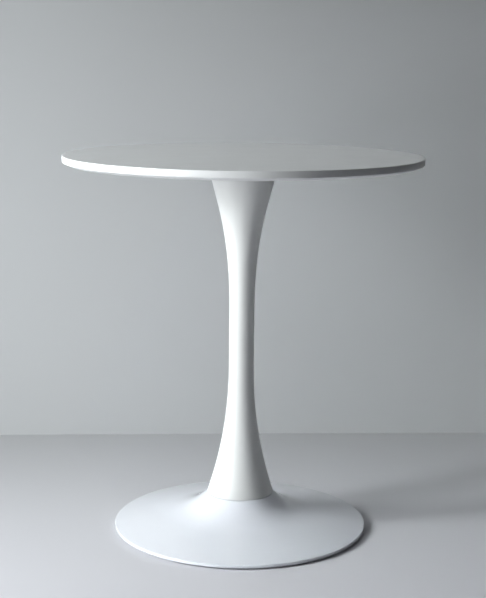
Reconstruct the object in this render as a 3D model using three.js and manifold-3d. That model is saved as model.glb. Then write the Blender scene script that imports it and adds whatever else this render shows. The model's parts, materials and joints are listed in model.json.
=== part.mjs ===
// Round pedestal table: a thin round top on a trumpet column and a low spun base.
// Millimetres, +Z up. The origin is on the floor, on the table's axis.
// One tie rod clamps the mounting plate, column, base shell and ballast casting together.

import * as THREE from 'three';
import { mergeVertices } from 'three/addons/utils/BufferGeometryUtils.js';
import Module from 'manifold-3d';

const wasm = await Module();
wasm.setup();

// ---------------------------------------------------------------- sizes

const tableHeight = 750;
const seatGap = 0.3; // clearance between pieces that seat on or fit into each other

// round top, with a square edge above a bevelled underside
const topDiameter = 700;
const topThickness = 18;
const bevelWidth = 15;
const bevelHeight = 5.3;
const topEdgeRound = 1;

// threaded inserts in the top and the screws that hold it to the mounting plate
const screwCount = 6;
const insertDiameter = 9;
const insertLength = 12;
const insertHoleSpare = 1;
const screwDiameter = 6;
const screwReach = 10; // how far a screw goes up into its insert
const screwHeadDiameter = 11;
const screwHeadHeight = 3.6;
const screwHeadRound = 2.5;
const screwKeySize = 4;
const screwKeyDepth = 2.2;

// mounting plate and the socket welded into it
const plateDiameter = 230;
const screwInset = 20; // from the plate's edge to the middle of a screw
const plateThickness = 4;
const plateEdgeRound = 1;
const socketDiameter = 44;
const socketLength = 24;
const socketNeckDiameter = 28;

// column: spun tube, flared at both ends, with a turned-in flange at each end
const columnWall = 1.5;
const waistRadius = 24.8;
const footRadius = 66.2;
const mouthRadius = 66;
const footFlare = 258; // height of the flare above the base
const mouthFlare = 278; // height of the flare under the top
const footStraight = 8.6; // how long the flare keeps the direction of the foot's edge
const footEase = 151; // how long it eases into the waist
const mouthStraight = 45;
const mouthEase = 168;
const mouthLean = 3.2; // how far the flare leans in over mouthStraight
const columnEdgeRound = 1.6;
const flangeBore = 49;
const discThickness = 4;

// base: spun shell with a seat, a steep neck, a wide fillet, a shallow cone and a hemmed rim
const baseDiameter = 506;
const baseWall = 2;
const seatHeight = 70.5;
const seatLedge = 1.2; // the seat is this much wider than the column's foot
const shoulderRound = 1.2;
const flankAngle = THREE.MathUtils.degToRad(41.3);
const coneAngle = THREE.MathUtils.degToRad(7.9);
const neckFillet = 60;
const rimLift = 5; // height of the rim's underside above the floor
const hemThickness = 4.8;
const hemWidth = 9;

// spigot that centres the column, base shell and ballast on each other
const spigotDiameter = 44;
const spigotDepth = 8; // how far it goes down into the ballast's hub

// ballast casting: hub, web, ribs, ring and glide bosses
const ballastMargin = 7; // casting left outside the glide bosses
const ballastGap = 0.8; // between the web and the shell over it
const webThickness = 6;
const hubDepth = 14;
const hubBossDiameter = 40;
const hubBossHeight = 24; // height of the boss's lower face above the floor
const nutPocketDiameter = 64;
const ribThickness = 7;
const ringWidth = 10;
const glideBossDiameter = 30;

// tie rod with its nut and washers
const rodDiameter = 12;
const rodTipGap = 3; // free space above the rod in its socket
const rodTail = 1.3; // how far the rod stands out under its nut
const rodChamfer = 1;
const washerDiameter = 37;
const washerThickness = 2.5;
const springWasherDiameter = 21;
const springWasherThickness = 2.5;
const springWasherSlit = 2;
const nutWidth = 19;
const nutHeight = 10;

// levelling glides
const glideCount = 6;
const glideInset = 75; // from the base's edge to a glide's axis
const padDiameter = 38;
const padHeight = 6;
const padEdgeRound = 1.2; // round its lower edge
const padFloor = 2.2;
const padLip = 0.8;
const padLipInset = 1.4;
const keyHoleDiameter = 7;
const stemDiameter = 8;
const stemFootDiameter = 16;
const stemTopGap = 1.5; // between the stem's end and the shell over it
const stemKeySize = 4;
const stemKeyDepth = 5;

// fineness of the turned pieces
const topSides = 64;
const baseSides = 48;
const ballastSides = 30;
const columnSides = 32;
const discSides = 24;
const padSides = 16;
const screwSides = 12;
const flareSteps = 8;
const arcTolerance = 0.25; // how far an arc's chords may lie from the arc
const cutSpare = 1; // how far a cutting shape runs past what it cuts

// ---------------------------------------------------------------- sizes that follow

const screwCircle = plateDiameter - 2 * screwInset;
const glideCircle = baseDiameter - 2 * glideInset;
const ballastDiameter = glideCircle + glideBossDiameter + 2 * ballastMargin;

const boardBottom = tableHeight - topThickness;
const plateTop = boardBottom - seatGap;
const plateBottom = plateTop - plateThickness;
const columnTop = plateBottom - seatGap;
const columnBottom = seatHeight + seatGap;
const hubTop = seatHeight - baseWall - seatGap;
const ballastBottom = padHeight + seatGap;

// ---------------------------------------------------------------- materials

const whiteLacquer = { color: 0xeeeeec, roughness: 0.42, metalness: 0 };
const whitePowder = { color: 0xf1f1ef, roughness: 0.3, metalness: 0 };
const zincSteel = { color: 0xb9bcc0, roughness: 0.38, metalness: 1 };
const blackSteel = { color: 0x2c2d2f, roughness: 0.5, metalness: 0.6 };
const castIron = { color: 0x3a3b3d, roughness: 0.72, metalness: 0.4 };
const brass = { color: 0xb8975a, roughness: 0.4, metalness: 1 };
const greyNylon = { color: 0x4a4a4c, roughness: 0.6, metalness: 0 };

// ---------------------------------------------------------------- outlines

// An outline is a list of corners [radius, height, rounding]. Rounding may be left out.

function direction(from, to) {
  return new THREE.Vector2(to[0] - from[0], to[1] - from[1]).normalize();
}

// The outline moved sideways by a distance, to the right of its direction of travel.
function parallel(corners, distance) {
  return corners.map((corner, i) => {
    const before = i > 0 ? direction(corners[i - 1], corner) : null;
    const after = i < corners.length - 1 ? direction(corner, corners[i + 1]) : null;
    const first = before ?? after;
    const second = after ?? before;
    const side = new THREE.Vector2(first.y + second.y, -first.x - second.x).normalize();
    const reach = distance / side.dot(new THREE.Vector2(first.y, -first.x));
    const turn = Math.sign(first.cross(second));
    const rounding = corner[2] ? Math.max(corner[2] + turn * distance, 0) : 0;
    return [corner[0] + side.x * reach, corner[1] + side.y * reach, rounding];
  });
}

// The outline's points, with an arc at each corner that has a rounding. The ends have none.
function rounded(corners) {
  return corners.flatMap((corner, i) => {
    const [x, y, rounding] = corner;
    if (!rounding || rounding < arcTolerance) return [[x, y]];
    const before = direction(corners[i - 1], corner);
    const after = direction(corner, corners[i + 1]);
    const turn = Math.atan2(before.cross(after), before.dot(after));
    const tangent = rounding * Math.tan(Math.abs(turn) / 2);
    const step = 2 * Math.acos(1 - arcTolerance / rounding);
    const steps = Math.ceil(Math.abs(turn) / step);
    const start = new THREE.Vector2(x, y).addScaledVector(before, -tangent);
    const left = new THREE.Vector2(-before.y, before.x).multiplyScalar(Math.sign(turn));
    const centre = start.clone().addScaledVector(left, rounding);
    return Array.from({ length: steps + 1 }, (_, k) => {
      const point = start.clone().rotateAround(centre, (turn * k) / steps);
      return [point.x, point.y];
    });
  });
}

// A closed outline for a sheet of the given wall, which lies to the right of its corners.
function sheet(corners, wall) {
  return [...rounded(corners), ...rounded(parallel(corners, wall)).reverse()];
}

function flare(start, startHandle, endHandle, end) {
  const curve = new THREE.CubicBezierCurve(
    new THREE.Vector2(...start),
    new THREE.Vector2(...startHandle),
    new THREE.Vector2(...endHandle),
    new THREE.Vector2(...end),
  );
  return curve.getPoints(flareSteps).map((point) => [point.x, point.y]);
}

// ---------------------------------------------------------------- geometry

function turned(outline, sides) {
  const points = outline.map(([radius, height]) => new THREE.Vector2(Math.max(radius, 0), height));
  const onAxis = points[0].x === 0 && points.at(-1).x === 0;
  if (!onAxis) points.push(points[0].clone());
  const area = points.reduce((sum, point, i) => sum + point.cross(points[(i + 1) % points.length]), 0);
  if (area < 0) points.reverse();
  const geometry = new THREE.LatheGeometry(points, sides);
  geometry.rotateX(Math.PI / 2);
  return geometry;
}

// A plain round bar between two heights, for cutting and joining.
function bar(radius, bottom, top, sides, x = 0, y = 0) {
  const geometry = new THREE.CylinderGeometry(radius, radius, top - bottom, sides);
  geometry.rotateX(Math.PI / 2);
  geometry.translate(x, y, (bottom + top) / 2);
  return geometry;
}

function hexBar(widthAcross, bottom, top) {
  return bar(widthAcross / Math.sqrt(3), bottom, top, 6);
}

function solid(geometry) {
  const bare = geometry.clone();
  bare.deleteAttribute('normal');
  bare.deleteAttribute('uv');
  const merged = mergeVertices(bare, 1e-4);
  const index = merged.index.array;
  const kept = [];
  for (let i = 0; i < index.length; i += 3) {
    const [a, b, c] = index.slice(i, i + 3);
    if (a !== b && b !== c && c !== a) kept.push(a, b, c);
  }
  return new wasm.Manifold(new wasm.Mesh({
    numProp: 3,
    vertProperties: merged.attributes.position.array,
    triVerts: new Uint32Array(kept),
  }));
}

function surface(manifold) {
  const { vertProperties, triVerts } = manifold.getMesh();
  const geometry = new THREE.BufferGeometry();
  geometry.setAttribute('position', new THREE.BufferAttribute(vertProperties, 3));
  geometry.setIndex(new THREE.BufferAttribute(triVerts, 1));
  geometry.computeVertexNormals();
  return geometry;
}

// Places evenly round a circle: [x, y, angle] for each.
function circlePlaces(count, diameter) {
  return Array.from({ length: count }, (_, i) => {
    const angle = ((i + 0.5) / count) * 2 * Math.PI;
    return [(diameter / 2) * Math.cos(angle), (diameter / 2) * Math.sin(angle), angle];
  });
}

const screwPlaces = circlePlaces(screwCount, screwCircle);
const glidePlaces = circlePlaces(glideCount, glideCircle);

// ---------------------------------------------------------------- top

const insertHoleRadius = insertDiameter / 2 + seatGap;

function tabletopBoard() {
  const radius = topDiameter / 2;
  const outline = rounded([
    [0, boardBottom],
    [radius - bevelWidth, boardBottom],
    [radius, boardBottom + bevelHeight],
    [radius, tableHeight, topEdgeRound],
    [0, tableHeight],
  ]);
  const holeTop = boardBottom + insertLength + insertHoleSpare;
  return surface(screwPlaces.reduce(
    (board, [x, y]) => board.subtract(
      solid(bar(insertHoleRadius, boardBottom - cutSpare, holeTop, screwSides, x, y))),
    solid(turned(outline, topSides)),
  ));
}

function threadedInsert() {
  const bore = screwDiameter / 2 + seatGap;
  return turned([
    [bore, 0],
    [insertDiameter / 2, 0],
    [insertDiameter / 2, insertLength],
    [bore, insertLength],
  ], screwSides);
}

function mountingPlate() {
  const outline = rounded([
    [socketNeckDiameter / 2 + seatGap, plateBottom],
    [plateDiameter / 2, plateBottom, plateEdgeRound],
    [plateDiameter / 2, plateTop, plateEdgeRound],
    [socketNeckDiameter / 2 + seatGap, plateTop],
  ]);
  const hole = screwDiameter / 2 + seatGap;
  return surface(screwPlaces.reduce(
    (plate, [x, y]) => plate.subtract(
      solid(bar(hole, plateBottom - cutSpare, plateTop + cutSpare, screwSides, x, y))),
    solid(turned(outline, discSides)),
  ));
}

// Welded to the plate: its neck fills the plate's centre hole and its bore takes the tie rod.
function rodSocket() {
  const bore = rodDiameter / 2 + seatGap;
  return turned([
    [0, plateTop],
    [0, plateTop - rodTipGap],
    [bore, plateTop - rodTipGap],
    [bore, plateBottom - socketLength],
    [socketDiameter / 2, plateBottom - socketLength],
    [socketDiameter / 2, plateBottom - seatGap],
    [socketNeckDiameter / 2, plateBottom - seatGap],
    [socketNeckDiameter / 2, plateTop],
  ], discSides);
}

// Button head below the origin, plain shank above it.
function plateScrew() {
  const shankTop = plateThickness + 2 * seatGap + screwReach;
  const head = turned(rounded([
    [0, -screwHeadHeight],
    [screwHeadDiameter / 2, -screwHeadHeight, screwHeadRound],
    [screwHeadDiameter / 2, 0],
    [screwDiameter / 2, 0],
    [screwDiameter / 2, shankTop],
    [0, shankTop],
  ]), screwSides);
  const socket = hexBar(screwKeySize, -screwHeadHeight - cutSpare, screwKeyDepth - screwHeadHeight);
  return surface(solid(head).subtract(solid(socket)));
}

// ---------------------------------------------------------------- column

const columnFlares = [
  ...flare(
    [footRadius, columnBottom],
    [footRadius, columnBottom + footStraight],
    [waistRadius, columnBottom + footFlare - footEase],
    [waistRadius, columnBottom + footFlare],
  ),
  ...flare(
    [waistRadius, columnTop - mouthFlare],
    [waistRadius, columnTop - mouthFlare + mouthEase],
    [mouthRadius - mouthLean, columnTop - mouthStraight],
    [mouthRadius, columnTop],
  ),
];

function columnShell() {
  const corners = columnFlares.map((corner) => [...corner]);
  corners[0].push(columnEdgeRound);
  corners.at(-1).push(columnEdgeRound);
  const outline = [
    [flangeBore, columnTop],
    ...corners.reverse(),
    [flangeBore, columnBottom],
  ];
  return turned(sheet(outline, columnWall), columnSides);
}

// Radius of the column's inside at a height near one of its ends.
function columnInside(height) {
  const inside = parallel(columnFlares, -columnWall);
  const i = inside.findIndex(([, top], k) => k > 0 && top >= height);
  const [[r0, z0], [r1, z1]] = [inside[i - 1], inside[i]];
  return r0 + ((r1 - r0) * (height - z0)) / (z1 - z0);
}

// Stepped disc in the column's foot, with the spigot that centres the base and the ballast.
function footDisc() {
  const ledge = columnBottom + columnWall + seatGap;
  const top = ledge + discThickness;
  return turned([
    [rodDiameter / 2 + seatGap, hubTop - spigotDepth + seatGap],
    [spigotDiameter / 2, hubTop - spigotDepth + seatGap],
    [spigotDiameter / 2, columnBottom],
    [flangeBore - seatGap, columnBottom],
    [flangeBore - seatGap, ledge],
    [columnInside(top) - seatGap, ledge],
    [columnInside(top) - seatGap, top],
    [rodDiameter / 2 + seatGap, top],
  ], discSides);
}

// Stepped disc in the column's mouth, bored for the rod's socket.
function mouthDisc() {
  const ledge = columnTop - columnWall - seatGap;
  const bottom = ledge - discThickness;
  return turned([
    [socketDiameter / 2 + seatGap, bottom],
    [columnInside(bottom) - seatGap, bottom],
    [columnInside(bottom) - seatGap, ledge],
    [flangeBore - seatGap, ledge],
    [flangeBore - seatGap, columnTop],
    [socketDiameter / 2 + seatGap, columnTop],
  ], discSides);
}

// ---------------------------------------------------------------- base

const baseRadius = baseDiameter / 2;
const hemRound = hemThickness / 2;
const shoulder = [footRadius + seatLedge, seatHeight, shoulderRound];
const rimCorner = [
  baseRadius,
  rimLift + hemRound * (1 + Math.tan((Math.PI / 2 - coneAngle) / 2)),
  hemRound,
];

function coneHeight(radius) {
  return rimCorner[1] + (baseRadius - radius) * Math.tan(coneAngle);
}

// The depth is measured square to the cone.
function heightUnderCone(radius, depth) {
  return coneHeight(radius) - depth / Math.cos(coneAngle);
}

// Where the neck's flank would meet the cone if there were no fillet.
function neckCorner() {
  const flankTan = Math.tan(flankAngle);
  const coneTan = Math.tan(coneAngle);
  const radius = (seatHeight + shoulder[0] * flankTan - coneHeight(0)) / (flankTan - coneTan);
  return [radius, coneHeight(radius), neckFillet];
}

// How far out the flank is at a height, at a depth measured square to it.
function radiusUnderFlank(height, depth) {
  return shoulder[0] + (seatHeight - height) / Math.tan(flankAngle) - depth / Math.sin(flankAngle);
}

const neck = [shoulder, neckCorner()];

function baseShell() {
  const bore = [spigotDiameter / 2 + seatGap, seatHeight];
  const hemEnd = baseRadius - hemWidth;
  const outside = [bore, ...neck, rimCorner, [baseRadius, rimLift, hemRound], [hemEnd, rimLift]];
  const inside = parallel([bore, ...neck, [hemEnd, coneHeight(hemEnd)]], baseWall);
  return turned([...rounded(outside), ...rounded(inside).reverse()], baseSides);
}

// The casting lies under the shell, so its top follows the shell's underside.
function ballastCover() {
  const radius = ballastDiameter / 2;
  const depth = baseWall + ballastGap;
  const [, neckUnder] = parallel([...neck, rimCorner], depth);
  return [
    [radiusUnderFlank(hubTop, depth), hubTop],
    neckUnder,
    [radius, heightUnderCone(radius, depth)],
  ];
}

function ballastCasting() {
  const radius = ballastDiameter / 2;
  const ringInside = radius - ringWidth;
  const cover = ballastCover();
  const envelope = solid(turned(
    [[0, hubTop], ...rounded(cover), [radius, ballastBottom], [0, ballastBottom]],
    ballastSides,
  ));
  const ring = [
    [ringInside, ballastBottom],
    [radius, ballastBottom],
    [radius, hubTop],
    [ringInside, hubTop],
  ];
  const ribs = glidePlaces.map(([, , angle]) => {
    const rib = new THREE.BoxGeometry(ringInside, ribThickness, hubTop - ballastBottom);
    rib.translate(ringInside / 2, 0, (hubTop + ballastBottom) / 2);
    return rib.rotateZ(angle);
  });
  const bosses = glidePlaces.map(
    ([x, y]) => bar(glideBossDiameter / 2, ballastBottom, hubTop, padSides, x, y));
  const body = [
    turned(sheet(cover, webThickness), ballastSides),
    turned(ring, ballastSides),
    bar(cover[0][0], hubTop - hubDepth, hubTop, ballastSides),
    ...ribs,
    ...bosses,
  ].map(solid).reduce((sum, piece) => sum.add(piece));
  const pocket = solid(bar(nutPocketDiameter / 2, 0, hubBossHeight, discSides));
  const hubBoss = solid(bar(hubBossDiameter / 2, hubBossHeight, hubTop, discSides));
  const cuts = [
    bar(rodDiameter / 2 + seatGap, 0, tableHeight, padSides),
    bar(spigotDiameter / 2 + seatGap, hubTop - spigotDepth, tableHeight, discSides),
    ...glidePlaces.map(([x, y]) => bar(stemDiameter / 2 + seatGap, 0, tableHeight, screwSides, x, y)),
  ].map(solid);
  const whole = body.subtract(pocket).add(hubBoss).intersect(envelope);
  return surface(cuts.reduce((sum, cut) => sum.subtract(cut), whole));
}

// ---------------------------------------------------------------- tie rod

const washerTop = hubBossHeight - seatGap;
const springWasherTop = washerTop - washerThickness - seatGap;
const nutTop = springWasherTop - springWasherThickness - seatGap;
const nutBottom = nutTop - nutHeight;

function tieRod() {
  const radius = rodDiameter / 2;
  const bottom = nutBottom - rodTail;
  const top = plateTop - rodTipGap - seatGap;
  return turned([
    [0, bottom],
    [radius - rodChamfer, bottom],
    [radius, bottom + rodChamfer],
    [radius, top - rodChamfer],
    [radius - rodChamfer, top],
    [0, top],
  ], padSides);
}

function plainWasher() {
  return turned([
    [rodDiameter / 2 + seatGap, washerTop - washerThickness],
    [washerDiameter / 2, washerTop - washerThickness],
    [washerDiameter / 2, washerTop],
    [rodDiameter / 2 + seatGap, washerTop],
  ], discSides);
}

function springWasher() {
  const ring = solid(turned([
    [rodDiameter / 2 + seatGap, springWasherTop - springWasherThickness],
    [springWasherDiameter / 2, springWasherTop - springWasherThickness],
    [springWasherDiameter / 2, springWasherTop],
    [rodDiameter / 2 + seatGap, springWasherTop],
  ], discSides));
  const slit = new THREE.BoxGeometry(springWasherDiameter, springWasherSlit, 2 * springWasherThickness);
  slit.translate(springWasherDiameter / 2, 0, springWasherTop - springWasherThickness / 2);
  return surface(ring.subtract(solid(slit)));
}

function rodNut() {
  const bore = solid(bar(rodDiameter / 2 + seatGap, nutBottom - cutSpare, nutTop + cutSpare, padSides));
  return surface(solid(hexBar(nutWidth, nutBottom, nutTop)).subtract(bore));
}

// ---------------------------------------------------------------- levelling glides

const pocketRadius = stemFootDiameter / 2 + seatGap;

// Moulded pad whose lip holds the foot of the stem, with a hole for the key.
function glidePad() {
  return turned(rounded([
    [keyHoleDiameter / 2, 0],
    [padDiameter / 2, 0, padEdgeRound],
    [padDiameter / 2, padHeight],
    [pocketRadius - padLipInset, padHeight],
    [pocketRadius - padLipInset, padHeight - padLip],
    [pocketRadius, padHeight - padLip],
    [pocketRadius, padFloor],
    [keyHoleDiameter / 2, padFloor],
  ]), padSides);
}

// The stem screws up through the casting and ends below the shell.
function glideStem() {
  const footBottom = padFloor + seatGap;
  const footTop = padHeight - padLip - seatGap;
  const stemTop = heightUnderCone(glideCircle / 2 + stemDiameter / 2, baseWall) - stemTopGap;
  const stem = turned([
    [0, footBottom],
    [stemFootDiameter / 2, footBottom],
    [stemFootDiameter / 2, footTop],
    [stemDiameter / 2, footTop],
    [stemDiameter / 2, stemTop],
    [0, stemTop],
  ], screwSides);
  const key = hexBar(stemKeySize, 0, footBottom + stemKeyDepth);
  return surface(solid(stem).subtract(solid(key)));
}

// ---------------------------------------------------------------- assembly

const table = new THREE.Group();

function add(name, geometry, finish, x = 0, y = 0, z = 0) {
  const mesh = new THREE.Mesh(geometry, new THREE.MeshStandardMaterial(finish));
  mesh.name = name;
  mesh.position.set(x, y, z);
  table.add(mesh);
}

add('tabletop_board', tabletopBoard(), whiteLacquer);
add('mounting_plate', mountingPlate(), blackSteel);
add('rod_socket', rodSocket(), blackSteel);
add('column_shell', columnShell(), whitePowder);
add('column_mouth_disc', mouthDisc(), zincSteel);
add('column_foot_disc', footDisc(), zincSteel);
add('base_shell', baseShell(), whitePowder);
add('ballast_casting', ballastCasting(), castIron);
add('tie_rod', tieRod(), zincSteel);
add('rod_washer', plainWasher(), zincSteel);
add('rod_spring_washer', springWasher(), zincSteel);
add('rod_nut', rodNut(), zincSteel);

const insertGeometry = threadedInsert();
const screwGeometry = plateScrew();
screwPlaces.forEach(([x, y], i) => {
  add(`threaded_insert_${i + 1}`, insertGeometry, brass, x, y, boardBottom);
  add(`plate_screw_${i + 1}`, screwGeometry, zincSteel, x, y, plateBottom - seatGap);
});

const padGeometry = glidePad();
const stemGeometry = glideStem();
glidePlaces.forEach(([x, y], i) => {
  add(`glide_pad_${i + 1}`, padGeometry, greyNylon, x, y);
  add(`glide_stem_${i + 1}`, stemGeometry, zincSteel, x, y);
});

export default table;
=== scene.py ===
import json
from math import atan2, ceil, cos, pi, radians, sin, sqrt, tan

import bpy
from mathutils import Matrix, Vector


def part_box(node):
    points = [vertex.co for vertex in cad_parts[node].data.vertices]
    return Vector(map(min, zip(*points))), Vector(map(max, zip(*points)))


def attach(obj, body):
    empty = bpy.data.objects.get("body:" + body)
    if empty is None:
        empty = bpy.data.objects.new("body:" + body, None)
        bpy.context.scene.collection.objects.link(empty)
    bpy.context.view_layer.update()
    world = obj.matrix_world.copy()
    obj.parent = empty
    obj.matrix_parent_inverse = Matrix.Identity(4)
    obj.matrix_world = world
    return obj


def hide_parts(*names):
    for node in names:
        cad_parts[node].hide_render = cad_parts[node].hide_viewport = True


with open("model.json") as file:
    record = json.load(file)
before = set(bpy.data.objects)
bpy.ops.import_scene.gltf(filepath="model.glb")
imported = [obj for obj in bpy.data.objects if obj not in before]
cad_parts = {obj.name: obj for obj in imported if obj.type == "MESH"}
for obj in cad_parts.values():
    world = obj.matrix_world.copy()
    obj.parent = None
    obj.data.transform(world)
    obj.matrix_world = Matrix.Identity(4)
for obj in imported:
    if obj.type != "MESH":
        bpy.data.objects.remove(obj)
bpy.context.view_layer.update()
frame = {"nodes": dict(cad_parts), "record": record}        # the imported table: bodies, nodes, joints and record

mm = 0.001
near = 0.01 * mm             # two heights this close are the same height
mergeWithin = 0.002 * mm
flatNormal = 0.9             # a face whose normal is steeper than this looks up or down

# small wrappers round the operators
def onlyThis(piece):
    bpy.ops.object.select_all(action="DESELECT")
    piece.select_set(True)
    bpy.context.view_layer.objects.active = piece


def edit(piece):
    onlyThis(piece)
    bpy.ops.object.mode_set(mode="EDIT")


def leaveEdit():
    bpy.ops.object.mode_set(mode="OBJECT")


def looksUp(face):
    return face.normal.z > flatNormal


def looksDown(face):
    return face.normal.z < -flatNormal


def levelEdge(a, b):
    return abs(a.z - b.z) < near


# selects the faces that pass a test, and leaves the piece in edit mode
def pickFaces(piece, test):
    edit(piece)
    bpy.ops.mesh.select_mode(type="FACE")
    bpy.ops.mesh.select_all(action="DESELECT")
    leaveEdit()
    for face in piece.data.polygons:
        face.select = test(face)
    bpy.ops.object.mode_set(mode="EDIT")


# selects the edges whose two ends pass a test, and leaves the piece in edit mode
def pickEdges(piece, test):
    edit(piece)
    bpy.ops.mesh.select_mode(type="EDGE")
    bpy.ops.mesh.select_all(action="DESELECT")
    leaveEdit()
    points = piece.data.vertices
    for edge in piece.data.edges:
        edge.select = test(points[edge.vertices[0]].co, points[edge.vertices[1]].co)
    bpy.ops.object.mode_set(mode="EDIT")


def inPlace(piece):        # puts the place of a new primitive into its mesh
    onlyThis(piece)
    bpy.ops.object.transform_apply(location=True, rotation=True, scale=True)
    return piece


def tidyMesh(piece):
    edit(piece)
    bpy.ops.mesh.select_all(action="SELECT")
    bpy.ops.mesh.remove_doubles(threshold=mergeWithin)
    bpy.ops.mesh.normals_make_consistent(inside=False)
    leaveEdit()
    return piece


def applyModifier(piece, kind, **settings):
    onlyThis(piece)
    modifier = piece.modifiers.new(kind.lower(), kind)
    for key, value in settings.items():
        setattr(modifier, key, value)
    bpy.ops.object.modifier_apply(modifier=modifier.name)
    return piece


def cylinder(radius, bottom, top, sides, x=0.0, y=0.0):
    bpy.ops.object.select_all(action="DESELECT")
    bpy.ops.mesh.primitive_cylinder_add(
        vertices=sides, radius=radius, depth=top - bottom, location=(x, y, (top + bottom) / 2))
    return inPlace(bpy.context.object)


def joined(pieces):
    onlyThis(pieces[0])
    for piece in pieces:
        piece.select_set(True)
    bpy.ops.object.join()
    return bpy.context.object


def combine(piece, other, operation):
    applyModifier(piece, "BOOLEAN", object=other, operation=operation, solver="EXACT")
    bpy.data.objects.remove(other)
    return piece


def holes(radius, bottom, top, sides, places):
    return joined([cylinder(radius, bottom, top, sides, x, y) for x, y in places])


def hexBar(widthAcross, bottom, top):
    return cylinder(widthAcross / sqrt(3), bottom, top, 6)


# one vertex is walked along a route of (radius, height) places; leaves the piece in edit mode
def walk(route):
    bpy.ops.object.select_all(action="DESELECT")
    bpy.ops.mesh.primitive_plane_add(size=mm, enter_editmode=True)
    bpy.ops.mesh.select_mode(type="VERT")
    bpy.ops.mesh.select_all(action="SELECT")
    bpy.ops.mesh.merge(type="CENTER")
    bpy.ops.transform.translate(value=(route[0][0], 0, route[0][1]))
    for here, there in zip(route, route[1:]):
        bpy.ops.mesh.extrude_region_move(TRANSFORM_OT_translate={
            "value": (there[0] - here[0], 0, there[1] - here[1])})
    bpy.ops.mesh.select_all(action="SELECT")
    bpy.ops.mesh.remove_doubles(threshold=mergeWithin)
    bpy.ops.mesh.select_all(action="SELECT")
    return bpy.context.object


# a turned piece: its outline is walked, closed, then spun round the table's axis
def turned(outline, steps, closed=True):
    piece = walk(outline + outline[:1] if closed else outline)
    bpy.ops.mesh.spin(steps=steps, angle=2 * pi, center=(0, 0, 0), axis=(0, 0, 1))
    leaveEdit()
    return tidyMesh(piece)


# another one of a modelled piece, with its own mesh, moved and turned round its own axis
def another(piece, x, y, z=0.0, turn=0.0):
    onlyThis(piece)
    bpy.ops.object.duplicate()
    twin = bpy.context.object
    twin.data.transform(Matrix.Translation((x, y, z)) @ Matrix.Rotation(turn, 4, "Z"))
    return twin


def finished(piece, name, body, paint, nodes, smoothUnder=40):
    piece.name = piece.data.name = name
    piece.data.materials.clear()
    piece.data.materials.append(paint)
    onlyThis(piece)
    bpy.ops.object.shade_smooth_by_angle(angle=radians(smoothUnder))
    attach(piece, body)
    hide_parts(*nodes)
    return piece


# Outlines are lists of corners: radius, height and, where the corner is round, its rounding.
def direction(here, there):
    return Vector((there[0] - here[0], there[1] - here[1])).normalized()


# the outline moved sideways, to the right of its direction of travel
def parallel(corners, distance):
    moved = []
    for i, corner in enumerate(corners):
        first = direction(corners[max(i - 1, 0)], corners[max(i, 1)])
        second = direction(*(corners[i:i + 2] if i < len(corners) - 1 else corners[-2:]))
        side = Vector((first.y + second.y, -first.x - second.x)).normalized()
        reach = distance / side.dot(Vector((first.y, -first.x)))
        turn = first.x * second.y - first.y * second.x
        rounding = corner[2] if len(corner) > 2 else 0
        if rounding:
            rounding = max(rounding + (distance if turn > 0 else -distance), 0)
        moved.append((corner[0] + side.x * reach, corner[1] + side.y * reach, rounding))
    return moved


# the corners of an outline turned into arcs; a rounding too small to see stays a sharp corner
def rounded(corners, step=radians(9), smallest=0.15 * mm):
    points = []
    for i, corner in enumerate(corners):
        rounding = corner[2] if len(corner) > 2 else 0
        if rounding < smallest:
            points.append((corner[0], corner[1]))
            continue
        before = direction(corners[i - 1], corner)
        after = direction(corner, corners[i + 1])
        turn = atan2(before.x * after.y - before.y * after.x, before.dot(after))
        start = Vector(corner[:2]) - before * rounding * tan(abs(turn) / 2)
        left = Vector((-before.y, before.x)) * (1 if turn > 0 else -1)
        centre = start + left * rounding
        arm = start - centre
        count = max(3, ceil(abs(turn) / step))
        for k in range(count + 1):
            angle = turn * k / count
            points.append((centre.x + arm.x * cos(angle) - arm.y * sin(angle),
                           centre.y + arm.x * sin(angle) + arm.y * cos(angle)))
    return points


# both faces of a wall that is given by one of them
def sheetOutline(corners, wall):
    return rounded(corners) + rounded(parallel(corners, wall))[::-1]


def scaled(corners):        # millimetres to metres
    return [tuple(value * mm for value in corner) for corner in corners]


def bezier(start, startHandle, endHandle, end, steps):
    points = []
    for k in range(steps + 1):
        t = k / steps
        weights = ((1 - t) ** 3, 3 * t * (1 - t) ** 2, 3 * t * t * (1 - t), t ** 3)
        places = (start, startHandle, endHandle, end)
        points.append(tuple(sum(w * p[axis] for w, p in zip(weights, places)) for axis in (0, 1)))
    return points


class Wire:        # a shader socket that can be used in sums
    def __init__(self, paint, socket):
        self.paint, self.socket = paint, socket

    def __add__(self, other):
        return self.paint.maths("ADD", self, other)

    def __radd__(self, other):
        return self.paint.maths("ADD", other, self)

    def __sub__(self, other):
        return self.paint.maths("SUBTRACT", self, other)

    def __rsub__(self, other):
        return self.paint.maths("SUBTRACT", other, self)

    def __mul__(self, other):
        return self.paint.maths("MULTIPLY", self, other)

    def __rmul__(self, other):
        return self.paint.maths("MULTIPLY", other, self)


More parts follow.
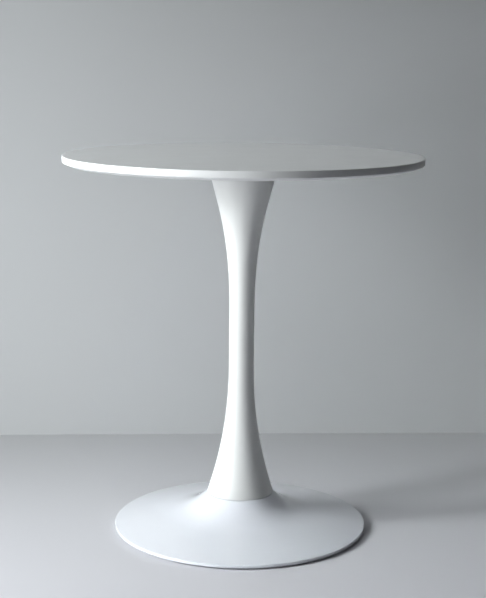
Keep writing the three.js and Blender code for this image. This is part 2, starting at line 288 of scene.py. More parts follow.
class Paint:
    def __init__(self, name, library="materials"):
        self.material = getattr(bpy.data, library).new(name)
        self.material.use_nodes = True
        self.tree = self.material.node_tree
        self.tree.nodes.clear()

    # one node: its kind, its settings, the values or wires of its sockets, and which output
    def node(self, kind, settings=None, sockets=None, out=0):
        node = self.tree.nodes.new("ShaderNode" + kind)
        for key, value in (settings or {}).items():
            setattr(node, key, value)
        for key, value in (sockets or {}).items():
            if isinstance(value, Wire):
                self.tree.links.new(value.socket, node.inputs[key])
            else:
                node.inputs[key].default_value = value
        return Wire(self, node.outputs[out]) if node.outputs else node

    def maths(self, operation, first, second):
        return self.node("Math", {"operation": operation}, {0: first, 1: second})

    def place(self):
        return self.node("TexCoord", out="Object")

    def along(self, axis):
        return self.node("SeparateXYZ", sockets={"Vector": self.place()}, out=axis)

    def ray(self, kind):
        return self.node("LightPath", out=f"Is {kind} Ray")

    def noise(self, size, detail, roughness=0.5):        # size of its patches, in millimetres
        return self.node("TexNoise", sockets={
            "Vector": self.place(), "Scale": 1 / (size * mm), "Detail": detail,
            "Roughness": roughness})

    def between(self, wire, low, high, to=(0.0, 1.0)):
        return self.node("MapRange", {"clamp": True}, {
            "Value": wire, "From Min": low, "From Max": high, "To Min": to[0], "To Max": to[1]})

    # soft clouds: noise of a size and detail, stretched between two of its levels
    def clouds(self, noise, levels, to=(0.0, 1.0)):
        return self.between(self.noise(*noise), *levels, to)

    def blendColour(self, factor, first, second):
        return self.node("Mix", {"data_type": "RGBA"}, {
            "Factor": factor, 6: first, 7: second}, out=2)

    def bump(self, height, depth, under=None):        # depth of the relief, in millimetres
        sockets = {"Height": height, "Strength": 1.0, "Distance": depth * mm}
        if under:
            sockets["Normal"] = under
        return self.node("Bump", sockets=sockets)

    def surface(self, **values):
        sockets = {name.replace("_", " "): value for name, value in values.items()}
        shader = self.node("BsdfPrincipled", sockets=sockets)
        self.node("OutputMaterial", sockets={"Surface": shader})
        return self.material


def grey(value, red=1.0, blue=1.0):
    return (value * red, value, value * blue, 1.0)


# Every look holds its tones, its roughness from low to high, and its noises, each as the size of
# the patches in millimetres, the detail and, where it differs from a half, the noise's roughness.
topLook = {
    "white": 0.79,
    # painted highlight: the edge and underside are painted whiter than the face, for light that falls on the edge
    # band
    "paintedLightEdgeWhite": 0.88,
    "clouding": 0.985,            # how far the white sinks in its clouds
    "cloud": (90, 3),
    "paintedLightFade": (0.9, 0.1),       # below the face, where the edge's white turns into the face's
    "wave": (14, 1),
    "waveDepth": 0.01,
    "grain": (0.5, 2),
    "grainDepth": 0.004,
    "roughCloud": (40, 4),
    "rough": (0.34, 0.42),
    "levels": (0.3, 0.7),
    "refraction": 1.48,
}


# satin sprayed lacquer on the board: a very fine grain and a slow, faint waviness,
# and an edge and underside painted a shade whiter than the face, as a painted highlight
def lacquerPaint(look):
    paint = Paint("satin_lacquer")
    cloud = paint.clouds(look["cloud"], look["levels"])
    faceColour = paint.blendColour(
        cloud, grey(look["white"] * look["clouding"]), grey(look["white"]))
    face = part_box("tabletop_board")[1].z
    low, high = (face - below * mm for below in look["paintedLightFade"])
    onFace = paint.between(paint.along("Z"), low, high)
    # painted highlight: below the face the lacquer takes the whiter edge tone
    colour = paint.blendColour(onFace, grey(look["paintedLightEdgeWhite"]), faceColour)
    wave = paint.bump(paint.noise(*look["wave"]), look["waveDepth"])
    grain = paint.bump(paint.noise(*look["grain"]), look["grainDepth"], wave)
    rough = paint.clouds(look["roughCloud"], look["levels"], look["rough"])
    return paint.surface(
        Base_Color=colour, Roughness=rough, IOR=look["refraction"], Normal=grain)


columnLook = {
    "white": 0.82,
    "tint": (1.0, 0.985),
    "clouding": 0.985,
    "cloud": (70, 3),
    "shine": 0.5,
    "roughCloud": (25, 3),
    "rough": (0.36, 0.46),
    "levels": (0.3, 0.7),
    "peel": (1.1, 1.5, 0.4),
    "peelDepth": 0.006,
    "refraction": 1.5,
    "coat": 0.0,
    "coatRough": 0.2,
}
baseLook = {
    **columnLook,
    "white": 0.83,
    "tint": (0.985, 1.06),
    "shine": 0.1,
    "rough": (0.29, 0.35),
    "peel": (1.2, 1.5, 0.4),
    "peelDepth": 0.003,
    "coat": 1.0,
    "coatRough": 0.05,
}


# powder coat: rounded orange peel over the metal, smoother where it flowed thicker
def powderPaint(name, look):
    paint = Paint(name)
    cloud = paint.clouds(look["cloud"], look["levels"])
    colour = paint.blendColour(
        cloud, grey(look["white"] * look["clouding"], *look["tint"]),
        grey(look["white"], *look["tint"]))
    peel = paint.bump(paint.noise(*look["peel"]), look["peelDepth"])
    rough = paint.clouds(look["roughCloud"], look["levels"], look["rough"])
    return paint.surface(
        Base_Color=colour, Roughness=rough, IOR=look["refraction"], Normal=peel,
        Specular_IOR_Level=look["shine"], Coat_Weight=look["coat"],
        Coat_Roughness=look["coatRough"])


plateLook = {
    "dark": 0.022,
    "light": 0.05,
    "speck": (0.8, 3),
    "speckLevels": (0.45, 0.7),
    "grain": (0.9, 2),
    "grainDepth": 0.05,
    "rough": 0.55,
}


# black powder coat of the steel plate under the top
def blackPaint(look):
    paint = Paint("black_powder_coat")
    speck = paint.clouds(look["speck"], look["speckLevels"])
    colour = paint.blendColour(speck, grey(look["dark"]), grey(look["light"]))
    relief = paint.bump(paint.noise(*look["grain"]), look["grainDepth"])
    return paint.surface(Base_Color=colour, Roughness=look["rough"], Normal=relief)


zincLook = {
    "dark": (0.52, 0.545, 0.58, 1),
    "light": (0.68, 0.70, 0.715, 1),
    "cloud": (2.2, 4, 0.6),
    "cloudLevels": (0.35, 0.65),
    "roughCloud": (1.1, 3),
    "roughLevels": (0.3, 0.7),
    "rough": (0.28, 0.42),
    "scratch": (0.25, 2),
    "scratchDepth": 0.006,
}


# bright zinc on fasteners: fine clouding, slightly blue, with rubbed high spots
def zincPaint(look):
    paint = Paint("bright_zinc")
    cloud = paint.clouds(look["cloud"], look["cloudLevels"])
    colour = paint.blendColour(cloud, look["dark"], look["light"])
    rough = paint.clouds(look["roughCloud"], look["roughLevels"], look["rough"])
    scratch = paint.bump(paint.noise(*look["scratch"]), look["scratchDepth"])
    return paint.surface(Base_Color=colour, Metallic=1.0, Roughness=rough, Normal=scratch)


ironLook = {
    "dark": 0.028,
    "light": 0.062,
    "sand": (1.6, 4, 0.65),
    "sandLevels": (0.35, 0.7),
    "sandDepth": 0.25,
    "lumps": (7, 3),
    "lumpDepth": 0.35,
    "rustColour": (0.12, 0.055, 0.028, 1),
    "rust": (9, 5, 0.7),
    "rustLevels": (0.62, 0.74),
    "blotch": (28, 4, 0.6),
    "blotchLevels": (0.42, 0.72),
    "mostRust": 0.6,
    "rough": 0.72,
    "metal": 0.15,
}


# sand-cast iron under a thin dark primer, with rust starting in the low spots
def ironPaint(look):
    paint = Paint("primed_cast_iron")
    sand = paint.noise(*look["sand"])
    blotch = paint.clouds(look["blotch"], look["blotchLevels"])
    primer = paint.blendColour(
        paint.between(sand, *look["sandLevels"]), grey(look["dark"]), grey(look["light"]))
    rust = paint.clouds(look["rust"], look["rustLevels"]) * blotch * look["mostRust"]
    colour = paint.blendColour(rust, primer, look["rustColour"])
    relief = paint.bump(sand, look["sandDepth"])
    lumps = paint.bump(paint.noise(*look["lumps"]), look["lumpDepth"], relief)
    return paint.surface(
        Base_Color=colour, Roughness=look["rough"], Metallic=look["metal"], Normal=lumps)


nylonLook = {
    "dark": 0.07,
    "light": 0.095,
    "speck": (0.6, 3),
    "speckLevels": (0.4, 0.7),
    "scuffTone": (0.16, 1.02, 0.98),
    "scuff": (3, 5, 0.7),
    "scuffLevels": (0.5, 0.7),
    "mostScuff": 0.35,
    "rough": (0.5, 0.2),          # on the clean face, and what a scuff adds
    "grain": (0.4, 2),
    "grainDepth": 0.02,
}


# moulded nylon of the pads, scuffed where it rubs on the floor
def nylonPaint(look):
    paint = Paint("grey_nylon")
    speck = paint.clouds(look["speck"], look["speckLevels"])
    clean = paint.blendColour(speck, grey(look["dark"]), grey(look["light"]))
    scuff = paint.clouds(look["scuff"], look["scuffLevels"])
    colour = paint.blendColour(scuff * look["mostScuff"], clean, grey(*look["scuffTone"]))
    relief = paint.bump(paint.noise(*look["grain"]), look["grainDepth"])
    rough, scuffed = look["rough"]
    return paint.surface(Base_Color=colour, Roughness=scuff * scuffed + rough, Normal=relief)


brassLook = {
    "dark": (0.52, 0.36, 0.15, 1),
    "light": (0.68, 0.50, 0.24, 1),
    "cloud": (3, 3),
    "cloudLevels": (0.35, 0.65),
    "grain": (0.3, 2),
    "grainDepth": 0.01,
    "rough": 0.35,
}


# plain brass of the inserts, clouded by handling
def brassPaint(look):
    paint = Paint("plain_brass")
    cloud = paint.clouds(look["cloud"], look["cloudLevels"])
    colour = paint.blendColour(cloud, look["dark"], look["light"])
    relief = paint.bump(paint.noise(*look["grain"]), look["grainDepth"])
    return paint.surface(
        Base_Color=colour, Metallic=1.0, Roughness=look["rough"], Normal=relief)


lacquer = lacquerPaint(topLook)
columnPowder = powderPaint("column_powder_coat", columnLook)
basePowder = powderPaint("base_powder_coat", baseLook)
blackPowder = blackPaint(plateLook)
zinc = zincPaint(zincLook)
iron = ironPaint(ironLook)
nylon = nylonPaint(nylonLook)
brass = brassPaint(brassLook)
print("paints mixed:", len(bpy.data.materials))

# sides of the small round pieces and of the holes that take them
sides = {"screw": 48, "hole": 32, "bore": 64, "ring": 72, "rod": 48, "boss": 32}

top = {
    "bevelWidth": 12.5 * mm,
    "bevelHeight": 5.3 * mm,
    "edgeRound": 1.1 * mm,
    "bevelRound": 0.7 * mm,
    "sides": 256,
    "insertHole": 4.8 * mm,
    "insertHoleDepth": 13 * mm,
    "flatMargin": 6 * mm,         # a ring of faces that keeps the flats flat up to the edge
    "flatArea": 0.1,              # square metres: only the two flats are larger
}


# where the repeated pieces stand, read from the nodes
def spots(prefix):
    count = sum(name.startswith(prefix) for name in frame["nodes"])
    middles = [sum(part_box(f"{prefix}{number}"), Vector()) / 2 for number in range(1, count + 1)]
    return [(middle.x, middle.y) for middle in middles]


screwSpots = spots("plate_screw_")
glideSpots = spots("glide_pad_")


def tabletop():
    low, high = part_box("tabletop_board")
    radius = high.x
    bevelTop = low.z + top["bevelHeight"]
    board = cylinder(radius, bevelTop, high.z, top["sides"])
    pickFaces(board, looksDown)
    bpy.ops.mesh.extrude_region_move(
        TRANSFORM_OT_translate={"value": (0, 0, -top["bevelHeight"])})
    shrink = (radius - top["bevelWidth"]) / radius
    bpy.ops.transform.resize(value=(shrink, shrink, 1), center_override=(0, 0, low.z))
    leaveEdit()
    pickEdges(board, lambda a, b: min(a.z, b.z) > high.z - near)
    bpy.ops.mesh.bevel(offset=top["edgeRound"], segments=4, affect="EDGES")
    leaveEdit()
    pickEdges(board, lambda a, b: levelEdge(a, b) and a.z < bevelTop + near)
    bpy.ops.mesh.bevel(offset=top["bevelRound"], segments=3, affect="EDGES")
    leaveEdit()
    pickFaces(board, lambda face: abs(face.normal.z) > flatNormal
              and face.area > top["flatArea"])
    bpy.ops.mesh.inset(thickness=top["flatMargin"])
    leaveEdit()
    blindHoles = holes(top["insertHole"], low.z - mm, low.z + top["insertHoleDepth"],
                       sides["hole"], screwSpots)
    combine(board, blindHoles, "DIFFERENCE")
    return finished(board, "tabletop", "table_frame", lacquer,
                    ["tabletop_board"], 25)


# the column, in millimetres: radii, and heights up from its foot or down from its mouth
column = {
    "wall": 1.5,
    "waist": 24.8,
    "foot": 66.2,
    "mouth": 66.0,
    "footFlare": 258,
    "footStraight": 8.6,
    "footEase": 151,
    "mouthFlare": 278,
    "mouthStraight": 45,
    "mouthLean": 3.2,
    "mouthEase": 168,
    "edgeRound": 1.6,
    "flangeBore": 49,
    "sides": 144,
    "flareSteps": 40,
}


def columnTube():
    low, high = (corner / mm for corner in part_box("column_shell"))
    bottom, crest, waist = low.z, high.z, column["waist"]
    footFlare = bezier(
        (column["foot"], bottom), (column["foot"], bottom + column["footStraight"]),
        (waist, bottom + column["footFlare"] - column["footEase"]),
        (waist, bottom + column["footFlare"]), column["flareSteps"])
    mouthFlare = bezier(
        (waist, crest - column["mouthFlare"]),
        (waist, crest - column["mouthFlare"] + column["mouthEase"]),
        (column["mouth"] - column["mouthLean"], crest - column["mouthStraight"]),
        (column["mouth"], crest), column["flareSteps"])
    corners = [(radius, height) for radius, height in (footFlare + mouthFlare)[::-1]]
    corners[0] += (column["edgeRound"],)
    corners[-1] += (column["edgeRound"],)
    # the arcs at both ends need room, so the flare's first short steps beside them are dropped
    corners = [corners[0]] + corners[2:-3] + [corners[-1]]
    corners = [(column["flangeBore"], crest)] + corners + [(column["flangeBore"], bottom)]
    tube = turned(sheetOutline(scaled(corners), column["wall"] * mm), column["sides"])
    return finished(tube, "column_tube", "table_frame", columnPowder,
                    ["column_shell"], 30)


# the base, in millimetres from the axis; leads are the reach of the neck's curve at its ends
base = {
    "wall": 2.0,
    "bore": 22.3,
    "shoulder": 67.4,
    "shoulderRound": 1.2,
    "neckAngle": radians(45),
    "neckLead": 32.0,
    "neckEnd": 150.0,
    "coneLead": 40.0,
    "coneAngle": radians(10.7),
    "neckSteps": 24,
    "hemThickness": 4.8,
    "hemWidth": 9.0,
    "hemRound": 2.2,
    "hemDrop": 2.0,
    "sides": 224,
}


# the neck falls steeply from the column's seat and runs out into a shallow cone
def baseNeck():
    low, high = (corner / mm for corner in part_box("base_shell"))
    neck, cone = base["neckAngle"], base["coneAngle"]
    rimCorner = low.z + base["hemThickness"] / 2 * (1 + tan((pi / 2 - cone) / 2))
    coneTop = rimCorner + (high.x - base["neckEnd"]) * tan(cone)
    flare = bezier(
        (base["shoulder"], high.z),
        (base["shoulder"] + base["neckLead"] * cos(neck), high.z - base["neckLead"] * sin(neck)),
        (base["neckEnd"] - base["coneLead"] * cos(cone), coneTop + base["coneLead"] * sin(cone)),
        (base["neckEnd"], coneTop), base["neckSteps"])
    return flare + [(high.x, rimCorner)]


def baseCorners():
    low, high = (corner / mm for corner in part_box("base_shell"))
    neck, hemFoot = baseNeck(), low.z - base["hemDrop"]
    return [
        (base["bore"], high.z),
        (*neck[0], base["shoulderRound"]),
        *neck[1:-1],
        (*neck[-1], base["hemRound"]),
        (high.x, hemFoot, base["hemRound"]),
        (high.x - base["hemWidth"], hemFoot),
    ]


def baseShell():
    outline = sheetOutline(scaled(baseCorners()), base["wall"] * mm)
    shell = turned(outline, base["sides"])
    return finished(shell, "base_dish", "table_frame", basePowder,
                    ["base_shell"], 30)


# plate under the top, bored for the rod's socket and the six screws
plate = {"edgeRound": 1.0 * mm, "centreHole": 14.3 * mm, "screwHole": 3.3 * mm, "sides": 128}


def mountingPlate():
    low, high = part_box("mounting_plate")
    disc = cylinder(high.x, low.z, high.z, plate["sides"])
    pickEdges(disc, levelEdge)
    bpy.ops.mesh.bevel(offset=plate["edgeRound"], segments=3, affect="EDGES")
    leaveEdit()
    below, above = low.z - mm, high.z + mm
    combine(disc, cylinder(plate["centreHole"], below, above, sides["bore"]), "DIFFERENCE")
    screwHoles = holes(plate["screwHole"], below, above, sides["hole"], screwSpots)
    combine(disc, screwHoles, "DIFFERENCE")
    return finished(disc, "top_plate", "table_frame", blackPowder,
                    ["mounting_plate"])


# button head screws with a hexagon socket
screw = {
    "shank": 3.0 * mm,
    "headRound": 2.6 * mm,
    "keyWidth": 4.0 * mm,
    "keyDepth": 2.2 * mm,
    "headHeight": 3.6 * mm,
    "headWidth": 5.5 * mm,
    "turnStep": 1.3,              # no two keyholes are turned alike
}


def plateScrews():
    low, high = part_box("plate_screw_1")
    headTop = low.z + screw["headHeight"]
    pattern = cylinder(screw["headWidth"], low.z, headTop, sides["screw"])
    pickEdges(pattern, lambda a, b: max(a.z, b.z) < low.z + near)
    bpy.ops.mesh.bevel(offset=screw["headRound"], segments=8, affect="EDGES")
    leaveEdit()
    pickFaces(pattern, looksUp)
    bpy.ops.mesh.inset(thickness=screw["headWidth"] - screw["shank"])
    bpy.ops.mesh.extrude_region_move(TRANSFORM_OT_translate={"value": (0, 0, high.z - headTop)})
    leaveEdit()
    key = hexBar(screw["keyWidth"], low.z - mm, low.z + screw["keyDepth"])
    combine(pattern, key, "DIFFERENCE")
    for number, (x, y) in enumerate(screwSpots, 1):
        head = another(pattern, x, y, turn=number * screw["turnStep"])
        finished(head, f"top_screw_{number}", "table_frame", zinc,
                 [f"plate_screw_{number}"], 25)
    bpy.data.objects.remove(pattern)


# ballast casting under the base, in millimetres: web, hub, ribs, ring and glide bosses, all cast
# in one; its grain is the size of the blocks that melt the parts together
casting = {
    "gap": 0.8,
    "web": 6.0,
    "hubDepth": 14.0,
    "hubBoss": 20.0,
    "hubBossHeight": 24.0,
    "nutPocket": 32.0,
    "rib": 7.0,
    "ring": 10.0,
    "boss": 15.0,
    "rodHole": 6.3,
    "spigotHole": 22.3,
    "spigotDepth": 8.0,
    "stemHole": 4.3,
    "grain": 2.8,
    "smoothing": 0.5,
    "smoothRounds": 3,
    "sides": 96,
}


def ballast():
    low, high = (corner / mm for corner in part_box("ballast_casting"))
    depth = base["wall"] + casting["gap"]
    under = [place[:2] for place in parallel(baseNeck(), depth)]
    edge, rimCorner = under[-1]
    rimTop = rimCorner + (edge - high.x) * tan(base["coneAngle"])
    hubRadius = under[0][0] + (under[0][1] - high.z) / tan(base["neckAngle"])
    slope = [place for place in under if place[1] < high.z][:-1]
    cover = scaled([(hubRadius, high.z), *slope, (high.x, rimTop)])
    skin = rounded(cover)
    steps, hub, ring = casting["sides"], hubRadius * mm, (high.x - casting["ring"]) * mm
    bottom, crown, rim = low.z * mm, high.z * mm, high.x * mm
    blocks = [
        turned(sheetOutline(cover, casting["web"] * mm), steps),
        turned([(ring, bottom), (rim, bottom), (rim, crown), (ring, crown)], steps),
        cylinder(hub, crown - casting["hubDepth"] * mm, crown, steps),
        cylinder(casting["hubBoss"] * mm, casting["hubBossHeight"] * mm, crown, steps),
    ]
    for x, y in glideSpots:
        blocks.append(cylinder(casting["boss"] * mm, bottom, crown, sides["boss"], x, y))
        bpy.ops.object.select_all(action="DESELECT")
        bpy.ops.mesh.primitive_cube_add(
            size=1, location=(x / 2, y / 2, (bottom + crown) / 2),
            rotation=(0, 0, atan2(y, x)), scale=(ring, casting["rib"] * mm, crown - bottom))
        blocks.append(inPlace(bpy.context.object))
    spider = joined(blocks)
    applyModifier(spider, "REMESH", mode="VOXEL", voxel_size=casting["grain"] * mm)
    applyModifier(spider, "SMOOTH", factor=casting["smoothing"],
                  iterations=casting["smoothRounds"])
    mould = [(0, bottom), (rim, bottom), *skin[::-1], (0, crown)]
    combine(spider, turned(mould, steps * 2, closed=False), "INTERSECT")
    # pocket for the nut, holes for the rod, the spigot and the glides' stems
    over, below = crown + mm, -mm
    spigotFloor = crown - casting["spigotDepth"] * mm
    for hole in (
            cylinder(casting["nutPocket"] * mm, below, casting["hubBossHeight"] * mm,
                     sides["bore"]),
            cylinder(casting["rodHole"] * mm, below, over, sides["rod"]),
            cylinder(casting["spigotHole"] * mm, spigotFloor, over, sides["bore"]),
            holes(casting["stemHole"] * mm, below, crown, sides["hole"], glideSpots)):
        combine(spider, hole, "DIFFERENCE")
    return finished(spider, "ballast", "table_frame", iron, ["ballast_casting"], 35)


threads = {"flank": 0.42, "steps": 20}        # half a ridge in pitches, and steps in each turn


# a helical ridge of triangular section, closed at both ends
def thread(radius, depth, pitch, bottom, end):
    half, root = pitch * threads["flank"], radius - depth
    foot = (root, bottom)
    ridge = walk([foot, (radius, bottom + half), (root, bottom + 2 * half), foot])
    leaveEdit()
    turns = int((end - bottom - 2 * half) / pitch)
    applyModifier(ridge, "SCREW", axis="Z", angle=2 * pi, screw_offset=pitch, iterations=turns,
                  steps=threads["steps"], render_steps=threads["steps"])
    edit(ridge)
    bpy.ops.mesh.select_all(action="DESELECT")
    bpy.ops.mesh.select_mode(type="EDGE")
    bpy.ops.mesh.select_non_manifold()
    bpy.ops.mesh.fill()
    leaveEdit()
    return tidyMesh(ridge)


# tie rod, its washers and nut
rod = {
    "chamfer": 1.0 * mm,
    "pitch": 1.75 * mm,
    "threadDepth": 0.9 * mm,
    "threadLength": 45 * mm,
    "washerBore": 6.3 * mm,
    "washerRound": 0.5 * mm,
    "slitAngle": 0.35,            # radians
    "slitWidth": 2 * mm,
    "nutWidth": 19 * mm,
    "nutChamfer": 1.2 * mm,
    "nutFace": 9.2 * mm,
}


def tieRod():
    low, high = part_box("tie_rod")
    bar = cylinder(high.x, low.z, high.z, sides["rod"])
    pickEdges(bar, levelEdge)
    bpy.ops.mesh.bevel(offset=rod["chamfer"], segments=1, affect="EDGES")
    leaveEdit()
    threadTop = low.z + rod["threadLength"]
    root, outside = high.x - rod["threadDepth"], high.x + mm
    turnedOff = turned([
        (outside, low.z - mm), (outside, threadTop), (high.x, threadTop),
        (root, threadTop - rod["pitch"]), (root, low.z - mm)], sides["rod"])
    combine(bar, turnedOff, "DIFFERENCE")
    ridge = thread(high.x, rod["threadDepth"], rod["pitch"], low.z + rod["chamfer"], threadTop)
    bar = joined([bar, ridge])
    return finished(bar, "rod", "table_frame", zinc, ["tie_rod"])


def ringOf(node, edgeRound):
    low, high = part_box(node)
    outline = rounded([
        (rod["washerBore"], low.z), (high.x, low.z, edgeRound), (high.x, high.z, edgeRound),
        (rod["washerBore"], high.z)])
    return turned(outline, sides["ring"])


def washers():
    flat = ringOf("rod_washer", rod["washerRound"])
    finished(flat, "flat_washer", "table_frame", zinc, ["rod_washer"])
    low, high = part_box("rod_spring_washer")
    split = ringOf("rod_spring_washer", rod["washerRound"] / 2)
    bpy.ops.object.select_all(action="DESELECT")
    bpy.ops.mesh.primitive_cube_add(
        size=1, location=(high.x, 0, (low.z + high.z) / 2), rotation=(rod["slitAngle"], 0, 0),
        scale=(2 * high.x - 2 * mm, rod["slitWidth"], 4 * (high.z - low.z)))
    combine(split, inPlace(bpy.context.object), "DIFFERENCE")
    finished(split, "split_washer", "table_frame", zinc, ["rod_spring_washer"])


def rodNut():
    low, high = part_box("rod_nut")
    nut = hexBar(rod["nutWidth"], low.z, high.z)
    corner = rod["nutWidth"] / sqrt(3)
    chamfered = turned([
        (rod["washerBore"], low.z), (rod["nutFace"], low.z),
        (corner + mm, low.z + rod["nutChamfer"]), (corner + mm, high.z - rod["nutChamfer"]),
        (rod["nutFace"], high.z), (rod["washerBore"], high.z)], sides["ring"])
    combine(nut, chamfered, "INTERSECT")
    return finished(nut, "nut", "table_frame", zinc, ["rod_nut"], 25)


# levelling glides: a moulded pad that holds a threaded stem by its foot
glide = {
    "edgeRound": 1.3 * mm,
    "keyHole": 3.5 * mm,
    "pocket": 8.3 * mm,
    "pocketFloor": 2.2 * mm,
    "lip": 0.8 * mm,
    "lipInset": 1.4 * mm,
    "shank": 4.0 * mm,
    "footBottom": 2.5 * mm,
    "footTop": 4.9 * mm,
    "pitch": 1.25 * mm,
    "threadDepth": 0.65 * mm,
    "keyWidth": 4.0 * mm,
    "keyDepth": 5.0 * mm,
    "turnStep": 2.1,
}


def glides():
    low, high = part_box("glide_pad_1")
    width, height = (high.x - low.x) / 2, high.z
    lip = glide["pocket"] - glide["lipInset"]
    pad = turned(rounded([
        (glide["keyHole"], low.z), (width, low.z, glide["edgeRound"]),
        (width, height, glide["edgeRound"] / 2), (lip, height), (lip, height - glide["lip"]),
        (glide["pocket"], height - glide["lip"]), (glide["pocket"], glide["pocketFloor"]),
        (glide["keyHole"], glide["pocketFloor"])]), sides["ring"])
    low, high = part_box("glide_stem_1")
    foot, root = (high.x - low.x) / 2, glide["shank"] - glide["threadDepth"]
    stem = cylinder(foot, glide["footBottom"], glide["footTop"], sides["rod"])
    pickFaces(stem, looksUp)
    bpy.ops.mesh.inset(thickness=foot - root)
    bpy.ops.mesh.extrude_region_move(
        TRANSFORM_OT_translate={"value": (0, 0, high.z - glide["footTop"])})
    leaveEdit()
    key = hexBar(glide["keyWidth"], -mm, glide["footBottom"] + glide["keyDepth"])
    combine(stem, key, "DIFFERENCE")
    ridge = thread(glide["shank"], glide["threadDepth"], glide["pitch"], glide["footTop"], high.z)
    stem = joined([stem, ridge])
    for number, (x, y) in enumerate(glideSpots, 1):
        finished(another(pad, x, y), f"pad_{number}_foot", f"pad_{number}", nylon,
                 [f"glide_pad_{number}"])
        turnedStem = another(stem, x, y, turn=number * glide["turnStep"])
        finished(turnedStem, f"pad_{number}_stem", f"stem_{number}", zinc,
                 [f"glide_stem_{number}"], 30)
    for pattern in (pad, stem):
        bpy.data.objects.remove(pattern)


tabletop()
columnTube()
baseShell()
print("top, column and base modelled")
mountingPlate()
plateScrews()
ballast()
tieRod()
washers()
rodNut()
glides()
print("plate, ballast, rod and glides modelled")

# the pieces that nothing shows keep their own shape and get their finish
cadPaints = {
    "black_steel": blackPowder, "zinc_steel": zinc, "cast_iron": iron, "brass": brass,
    "grey_nylon": nylon, "top_lacquer": lacquer, "column_powder": columnPowder,
    "base_powder": basePowder,
}
slotOf = {row["node"]: row["material_slot"] for row in frame["record"]["subparts"]}
for name, node in frame["nodes"].items():
    node.data.materials.clear()
    node.data.materials.append(cadPaints[slotOf[name]])
print("carried-over pieces painted")

# tones of the floor in front of the table and at the wall, and of the wall at its foot and above; the darker back
# of the floor and the darker upper wall are painted shade
stage = {
    "wallDistance": 0.660,
    "wallTurn": radians(3.0),     # the wall's right end stands a little farther back
    "floorLitFront": 0.81,
    "floorShadedBack": 0.50,
    "litFrontTint": (1.02, 1.06),
    "shadedBackTint": (1.0, 1.02),
    "wallLitFoot": 0.61,
    "wallShadedTop": 0.48,
    "wallTint": (0.993, 1.015),
    "floorShadeDepth": 1.5,             # how far in front of the wall the floor has its front tone
    "wallShadeHeight": 1.1,            # how far up the wall has its upper tone
    "reach": (0.95, 1.7),         # where the stage begins and ends to run out into the room
    "rough": 0.6,
    "size": 9.0,
    "wallHeight": 4.5,
}
lamps = {
    "window": {
        "place": (-3.36, -1.56, 1.95), "width": 1.5, "height": 1.0, "spread": 45, "power": 4.9},
    "window_edge": {
        "place": (-3.63, -0.77, 1.95), "width": 0.7, "height": 1.0, "spread": 45, "power": 5.9},
    "low_window": {
        "place": (-1.50, -0.94, 0.79), "width": 0.35, "height": 0.65, "spread": 180,
        "power": 19.6},
    "high_window": {
        "place": (-1.02, -1.22, 2.99), "width": 1.0, "height": 1.0, "spread": 180,
        "power": 10.7},
    # shines up through the clear back of the floor, and reaches only the hollow of the base
    "under_light": {
        "shape": "DISK", "place": (0, 0, -0.16), "width": 0.40, "height": 0.40, "spread": 20,
        "power": 0.5},
}
room = {
    "aim": (0.0, 0.0, 0.45),      # where every lamp points
    "daylight": (0.95, 1.0, 1.01),
    "tint": (0.98, 1.01),
    "fill": 0.0,
    "mirrored": 0.08,
    "seen": 0.6,
}
view = {
    "place": (0.0, -2.651, 0.9535),
    "down": radians(10.42),
    "yaw": radians(-0.04),
    "roll": radians(0.58),
    "lens": 82.04,
    "film": 36,
}


# how strongly the room shows to the camera, in reflections and to all other rays
def roomStrength(paint):
    unseen = paint.between(paint.ray("Glossy"), 0, 1, (room["fill"], room["mirrored"]))
    return paint.between(paint.ray("Camera"), 0, 1, (unseen, room["seen"]))


# A stage surface changes its tone along one axis, from start to end: each is a place on the
# axis, a tone and its tint. For whoever looks at it, it runs out into the tone of the room far
# from the table and behind the wall. From behind it is clear, and it lets the lamp below through.
def stagePaint(name, axis, start, end):
    paint = Paint(name)
    # painted shade: the tone darkens from start to end, towards the wall on the floor and upward on the wall
    colour = paint.blendColour(
        paint.between(paint.along(axis), start[0], end[0]), grey(*start[1:]), grey(*end[1:]))
    tableSide = paint.node("BsdfPrincipled", sockets={
        "Base Color": colour, "Roughness": stage["rough"]})
    farAway = paint.node("Emission", sockets={
        "Color": grey(1.0, *room["tint"]), "Strength": roomStrength(paint)})
    flat = paint.node("VectorMath", {"operation": "MULTIPLY"}, {0: paint.place(), 1: (1, 1, 0)})
    distance = paint.node("VectorMath", {"operation": "LENGTH"}, {0: flat}, out="Value")
    depth = paint.along("Y") - paint.along("X") * tan(stage["wallTurn"])
    behindWall = paint.maths("GREATER_THAN", depth, stage["wallDistance"] + mm)
    away = paint.maths("MAXIMUM", paint.between(distance, *stage["reach"]), behindWall)
    looked = paint.maths("MAXIMUM", paint.ray("Camera"), paint.ray("Glossy"))
    front = paint.node("MixShader", sockets={0: away * looked, 1: tableSide, 2: farAway})
    clear = paint.maths(
        "MAXIMUM", paint.node("NewGeometry", out="Backfacing"), paint.ray("Shadow"))
    shader = paint.node("MixShader", sockets={
        0: clear, 1: front, 2: paint.node("BsdfTransparent")})
    paint.node("OutputMaterial", sockets={"Surface": shader})
    return paint.material


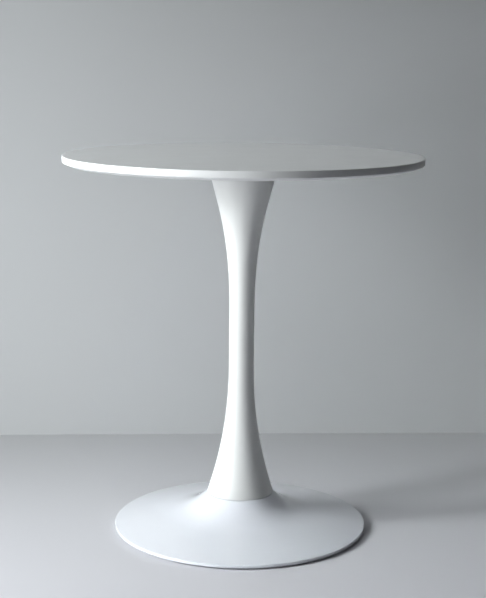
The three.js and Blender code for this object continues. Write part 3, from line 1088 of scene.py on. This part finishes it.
def studio():
    depth = stage["wallDistance"]
    bpy.ops.object.select_all(action="DESELECT")
    bpy.ops.mesh.primitive_plane_add(size=stage["size"])
    floor = bpy.context.object
    floor.name = "studio_floor"
    floor.data.materials.append(stagePaint(
        "studio_floor", "Y",
        (depth - stage["floorShadeDepth"], stage["floorLitFront"], *stage["litFrontTint"]),
        (depth, stage["floorShadedBack"], *stage["shadedBackTint"])))
    bpy.ops.object.select_all(action="DESELECT")
    bpy.ops.mesh.primitive_plane_add(
        size=1, location=(0, depth, stage["wallHeight"] / 2),
        rotation=(pi / 2, 0, stage["wallTurn"]))
    wall = bpy.context.object
    wall.name = "studio_wall"
    wall.scale = (stage["size"], stage["wallHeight"], 1)
    inPlace(wall)
    wall.data.materials.append(stagePaint(
        "studio_wall", "Z", (0, stage["wallLitFoot"], *stage["wallTint"]),
        (stage["wallShadeHeight"], stage["wallShadedTop"], *stage["wallTint"])))


def softWindows():
    for name, look in lamps.items():
        data = bpy.data.lights.new(name, "AREA")
        data.shape = look.get("shape", "RECTANGLE")
        data.size, data.size_y = look["width"], look["height"]
        data.spread = radians(look["spread"])
        data.energy = look["power"]
        data.color = room["daylight"]
        lamp = bpy.data.objects.new(name, data)
        bpy.context.scene.collection.objects.link(lamp)
        lamp.location = look["place"]
        aim = Vector(room["aim"]) - Vector(look["place"])
        lamp.rotation_euler = aim.to_track_quat("-Z", "Y").to_euler()


# a pale room to look at, which lights the table only by its faint mirror image
def surroundings():
    air = Paint("room", "worlds")
    background = air.node("Background", sockets={
        "Color": grey(1.0, *room["tint"]), "Strength": roomStrength(air)})
    air.node("OutputWorld", sockets={"Surface": background})
    bpy.context.scene.world = air.material


def cameraInPlace():
    data = bpy.data.cameras.new("camera")
    data.lens = view["lens"]
    data.sensor_width = view["film"]
    camera = bpy.data.objects.new("camera", data)
    bpy.context.scene.collection.objects.link(camera)
    camera.matrix_world = (
        Matrix.Translation(view["place"]) @ Matrix.Rotation(view["yaw"], 4, "Z")
        @ Matrix.Rotation(pi / 2 - view["down"], 4, "X") @ Matrix.Rotation(view["roll"], 4, "Z"))
    bpy.context.scene.camera = camera


studio()
softWindows()
surroundings()
cameraInPlace()
bpy.context.scene.view_settings.view_transform = "Standard"
print("stage, light and camera set")
